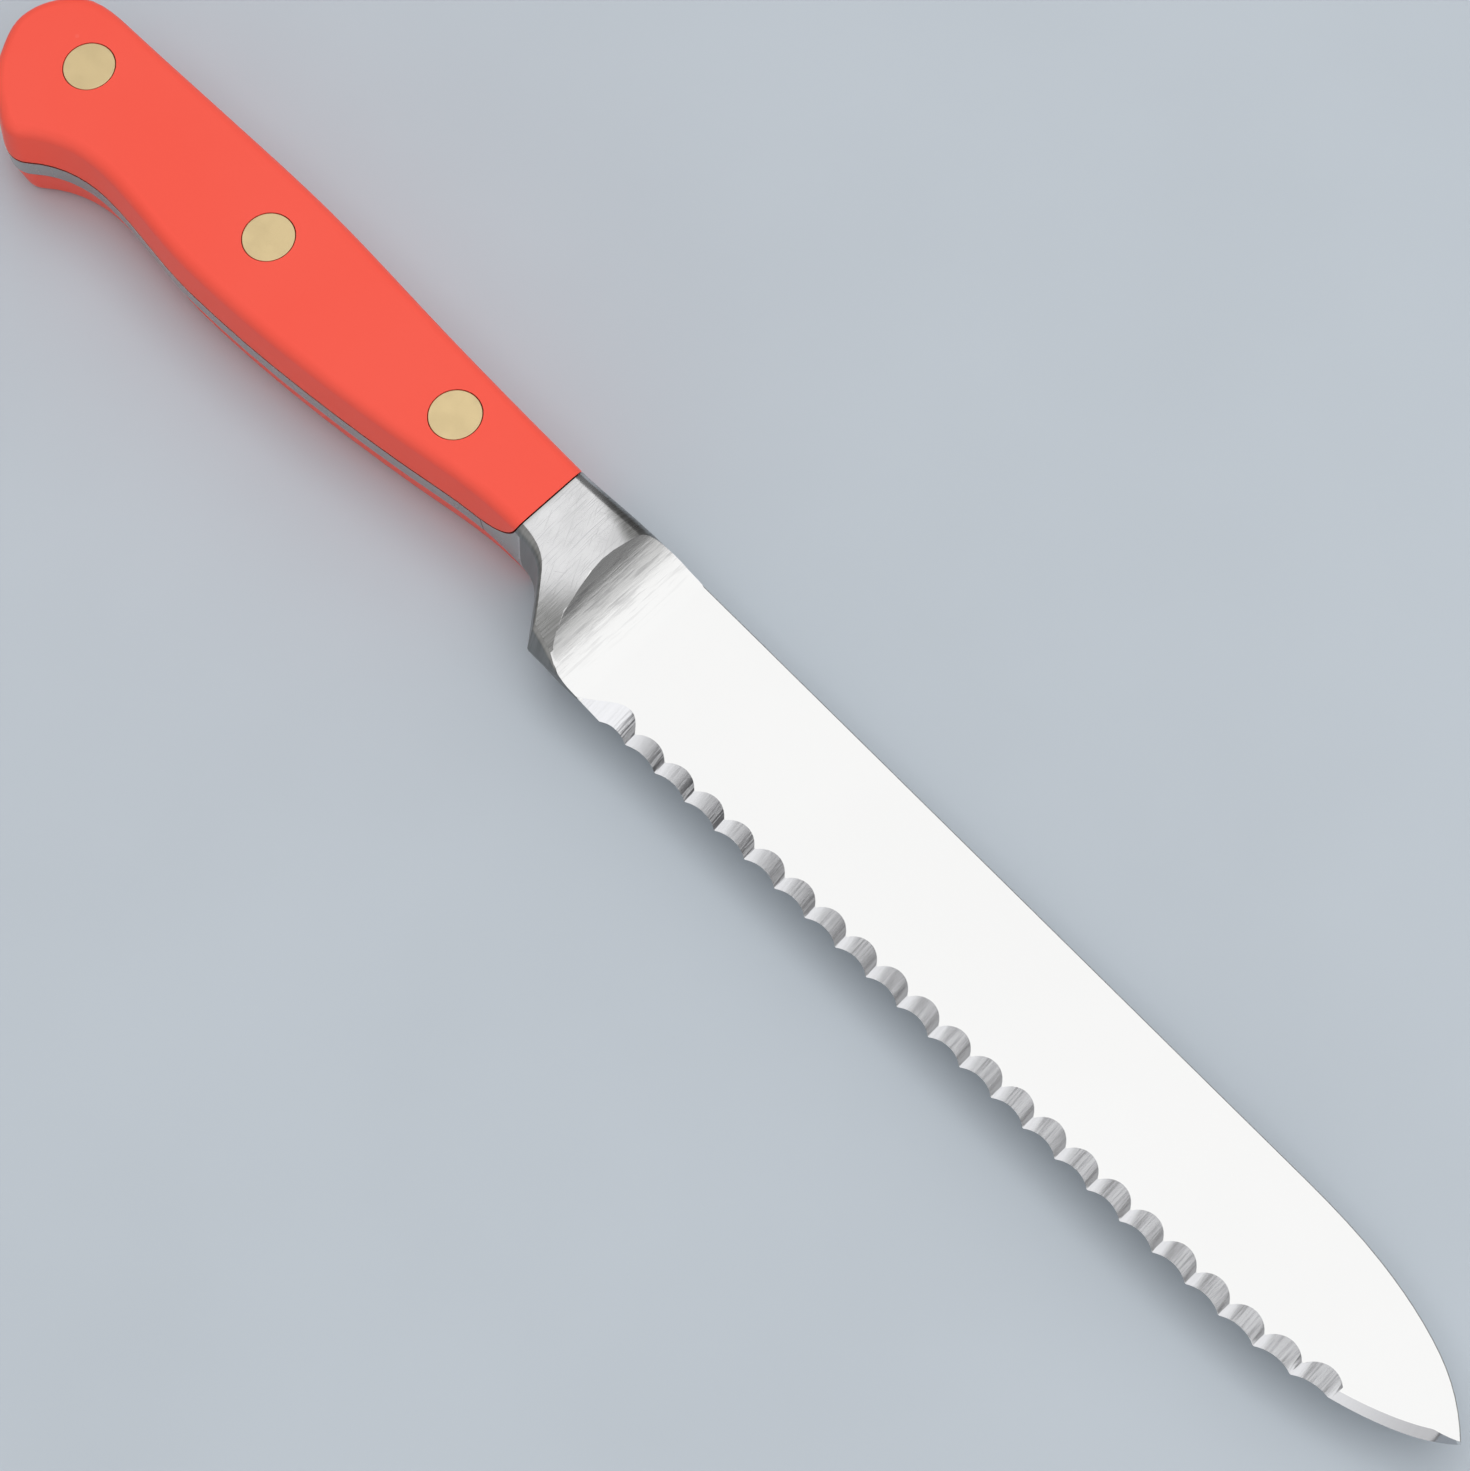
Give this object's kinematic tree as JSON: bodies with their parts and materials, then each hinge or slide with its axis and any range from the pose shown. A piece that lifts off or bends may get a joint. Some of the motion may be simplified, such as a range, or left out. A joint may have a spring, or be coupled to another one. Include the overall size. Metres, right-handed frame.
{
  "type": "tomato knife",
  "caption": "Serrated tomato knife: scalloped edge ground from one face, forged bolster hollowed into the blade, full tang between riveted coral handle scales.",
  "frame": {"origin": "middle of the knife's bounding box, on the plane the left handle scale lies on", "axes": "+X from butt to tip, +Y from edge to spine, +Z out of the right face, which lies upwards"},
  "size_m": [0.247, 0.0222, 0.0146],
  "materials": {
    "steel": "fine satin grind, scratches across the bolster",
    "coral_plastic": "satin",
    "brass": "brushed flush with the handle"
  },
  "bodies": {
    "root": {"blade_and_tang": "steel", "handle_scale_right": "coral_plastic", "handle_scale_left": "coral_plastic", "rivet_post_rear": "brass", "rivet_sleeve_rear": "brass", "rivet_post_middle": "brass", "rivet_sleeve_middle": "brass", "rivet_post_front": "brass", "rivet_sleeve_front": "brass"}
  },
  "joints": []
}
